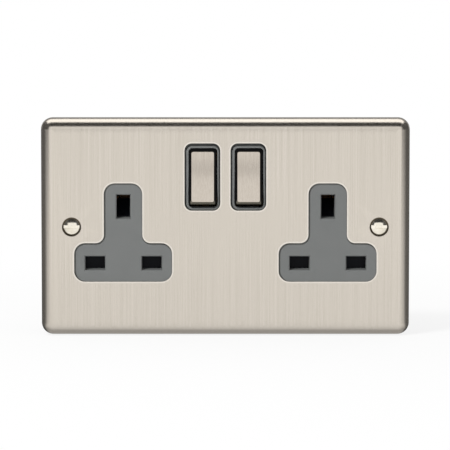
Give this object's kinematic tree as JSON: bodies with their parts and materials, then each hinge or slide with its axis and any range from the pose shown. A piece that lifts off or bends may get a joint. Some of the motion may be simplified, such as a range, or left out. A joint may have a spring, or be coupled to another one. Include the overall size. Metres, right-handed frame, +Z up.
{
  "type": "twin switched socket outlet",
  "caption": "Flush wall socket for two flat-pin plugs: brushed steel plate with rolled edges, grey inserts, shuttered apertures and rocker switches.",
  "frame": {"origin": "midway between the two fixing screws, on the wall plane behind the plate's rim", "axes": "+X to the right seen from the front, +Y into the wall, +Z up; the plate faces -Y"},
  "size_m": [0.145, 0.0291, 0.0856],
  "materials": {
    "plate_steel": "fine vertical brushed grain",
    "cap_steel": "fine vertical brushed grain",
    "insert_plastic": "fine matt moulded grey",
    "housing_plastic": "matt moulded grey",
    "rocker_plastic": "satin moulded black",
    "shutter_plastic": "smooth moulded blue black",
    "contact_bronze": "plain rolled phosphor bronze",
    "bar_brass": "plain rolled brass",
    "terminal_brass": "drawn and machined brass",
    "screw_nickel": "polished warm nickel plate",
    "screw_zinc": "bright zinc plate",
    "spring_steel": "drawn spring wire"
  },
  "bodies": {
    "root": {"assembly_screws": "screw_zinc", "earth_bar": "bar_brass", "earth_clip_left": "contact_bronze", "earth_clip_right": "contact_bronze", "earth_terminal_left": "terminal_brass", "earth_terminal_right": "terminal_brass", "fixing_screw_left": "screw_nickel", "fixing_screw_right": "screw_nickel", "front_moulding": "insert_plastic", "front_plate": "plate_steel", "live_bar": "bar_brass", "live_clip_left": "contact_bronze", "live_clip_right": "contact_bronze", "live_link_left": "bar_brass", "live_link_right": "bar_brass", "live_terminal": "terminal_brass", "neutral_bar": "bar_brass", "neutral_clip_left": "contact_bronze", "neutral_clip_right": "contact_bronze", "neutral_terminal": "terminal_brass", "plate_bushes": "plate_steel", "plate_earth_strap": "bar_brass", "rear_housing": "housing_plastic", "shutter_spring_left": "spring_steel", "shutter_spring_right": "spring_steel", "terminal_screws": "screw_zinc"},
    "rocker_left": {"rocker_left": "rocker_plastic", "rocker_cap_left": "cap_steel", "rocker_plunger_left": "rocker_plastic", "rocker_spring_left": "spring_steel"},
    "rocker_right": {"rocker_right": "rocker_plastic", "rocker_cap_right": "cap_steel", "rocker_plunger_right": "rocker_plastic", "rocker_spring_right": "spring_steel"},
    "switch_arm_left": {"switch_arm_left": "contact_bronze"},
    "switch_arm_right": {"switch_arm_right": "contact_bronze"},
    "shutter_left": {"shutter_left": "shutter_plastic"},
    "shutter_right": {"shutter_right": "shutter_plastic"}
  },
  "joints": [
    {"name": "rocker_left_tilt", "type": "hinge", "parent": "root", "child": "rocker_left", "pos_m": [-0.009, -0.0035, 0.0196], "axis": [1, 0, 0], "range_deg": [0, 14]},
    {"name": "rocker_right_tilt", "type": "hinge", "parent": "root", "child": "rocker_right", "pos_m": [0.009, -0.0035, 0.0196], "axis": [1, 0, 0], "range_deg": [0, 14]},
    {"name": "switch_arm_left_rock", "type": "hinge", "parent": "root", "child": "switch_arm_left", "pos_m": [-0.009, 0.00515, 0.0196], "axis": [1, 0, 0], "range_deg": [-16, 0]},
    {"name": "switch_arm_right_rock", "type": "hinge", "parent": "root", "child": "switch_arm_right", "pos_m": [0.009, 0.00515, 0.0196], "axis": [1, 0, 0], "range_deg": [-16, 0]},
    {"name": "shutter_left_slide", "type": "slide", "parent": "root", "child": "shutter_left", "axis": [0, 0, -1], "range_m": [0, 0.0066], "stiffness_N_per_m": 40, "springref_m": -0.004, "deforming": ["shutter_spring_left"]},
    {"name": "shutter_right_slide", "type": "slide", "parent": "root", "child": "shutter_right", "axis": [0, 0, -1], "range_m": [0, 0.0066], "stiffness_N_per_m": 40, "springref_m": -0.004, "deforming": ["shutter_spring_right"]}
  ],
  "couplings": [
    {"joint": "switch_arm_left_rock", "follows": "rocker_left_tilt", "ratio": -1.1429},
    {"joint": "switch_arm_right_rock", "follows": "rocker_right_tilt", "ratio": -1.1429}
  ]
}
